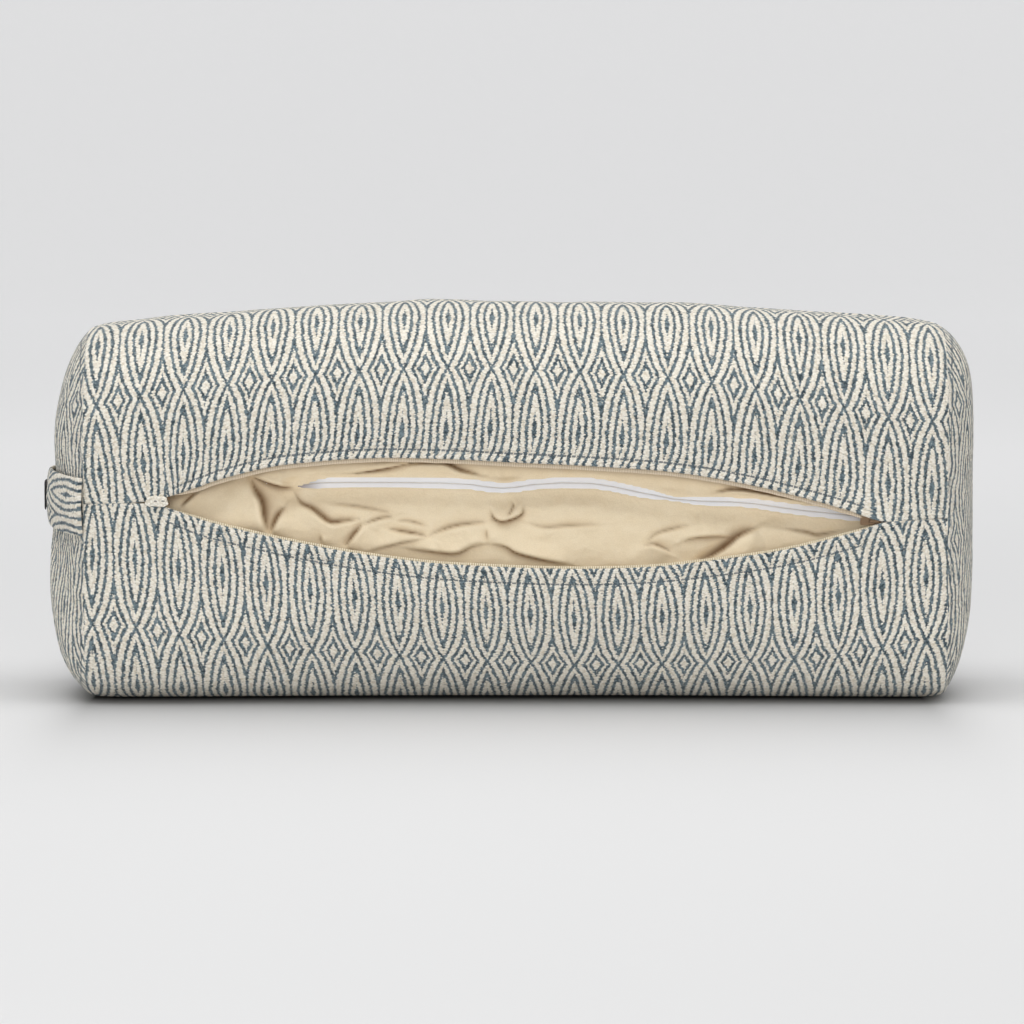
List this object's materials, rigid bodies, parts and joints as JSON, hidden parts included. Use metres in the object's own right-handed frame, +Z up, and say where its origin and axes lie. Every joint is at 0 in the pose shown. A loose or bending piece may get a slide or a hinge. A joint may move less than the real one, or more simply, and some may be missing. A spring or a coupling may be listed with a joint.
{
  "type": "bolster pillow",
  "caption": "Rectangular yoga and massage bolster standing on its long narrow side: woven cover with an end handle, its front zip open on a zipped cotton inner bag.",
  "frame": {"origin": "centre of the whole object's box, on the surface that it stands on", "axes": "+X along the length, away from the handle; -Y the face with the zips; +Z up"},
  "size_m": [0.6712, 0.1784, 0.281],
  "materials": {
    "cover_fabric": "off-white boucle ribs with teal outlines, jacquard woven",
    "label_fabric": "plain black woven tape, blank",
    "tab_fabric": "folded cream cotton",
    "bag_fabric": "unbleached cotton calico, matte",
    "filling_fibre": "packed cotton fibre",
    "cover_zip_tape": "beige woven zip tape",
    "cover_zip_coil": "beige nylon coil",
    "cover_zip_metal": "dark bronzed metal",
    "bag_zip_tape": "white woven zip tape",
    "bag_zip_coil": "white nylon coil",
    "bag_zip_metal": "white enamelled metal"
  },
  "bodies": {
    "bolster": {"cover_main_panel": "cover_fabric", "cover_end_panel_left": "cover_fabric", "cover_end_panel_right": "cover_fabric", "cover_zip_end_tab": "tab_fabric", "handle_strap": "cover_fabric", "handle_label": "label_fabric", "bag_main_panel": "bag_fabric", "bag_end_panel_left": "bag_fabric", "bag_end_panel_right": "bag_fabric", "filling": "filling_fibre", "cover_zip_tape_upper": "cover_zip_tape", "cover_zip_tape_lower": "cover_zip_tape", "cover_zip_coil_upper": "cover_zip_coil", "cover_zip_coil_lower": "cover_zip_coil", "cover_zip_bottom_stop": "cover_zip_metal", "cover_zip_top_stops": "cover_zip_metal", "bag_zip_tape_upper": "bag_zip_tape", "bag_zip_tape_lower": "bag_zip_tape", "bag_zip_coil_upper": "bag_zip_coil", "bag_zip_coil_lower": "bag_zip_coil", "bag_zip_bottom_stop": "bag_zip_metal", "bag_zip_top_stops": "bag_zip_metal"},
    "cover_slider": {"cover_zip_slider": "cover_zip_metal"},
    "cover_pull": {"cover_zip_pull": "cover_zip_metal"},
    "bag_slider": {"bag_zip_slider": "bag_zip_metal"},
    "bag_pull": {"bag_zip_pull": "bag_zip_metal"}
  },
  "joints": [
    {"name": "cover_slider_travel", "type": "slide", "parent": "bolster", "child": "cover_slider", "axis": [-0.9996, 0, 0.0279], "range_m": [0, 0.4847]},
    {"name": "cover_pull_swing", "type": "hinge", "parent": "cover_slider", "child": "cover_pull", "pos_m": [0.2581, -0.087, 0.13115], "axis": [0.0279, 0, 0.9996], "range_deg": [0, 150]},
    {"name": "bag_slider_travel", "type": "slide", "parent": "bolster", "child": "bag_slider", "axis": [-0.9983, 0, 0.0583], "range_m": [0, 0.4267]},
    {"name": "bag_pull_swing", "type": "hinge", "parent": "bag_slider", "child": "bag_pull", "pos_m": [0.26211, -0.0676, 0.13332], "axis": [-0.0583, 0, -0.9983], "range_deg": [0, 180]}
  ]
}
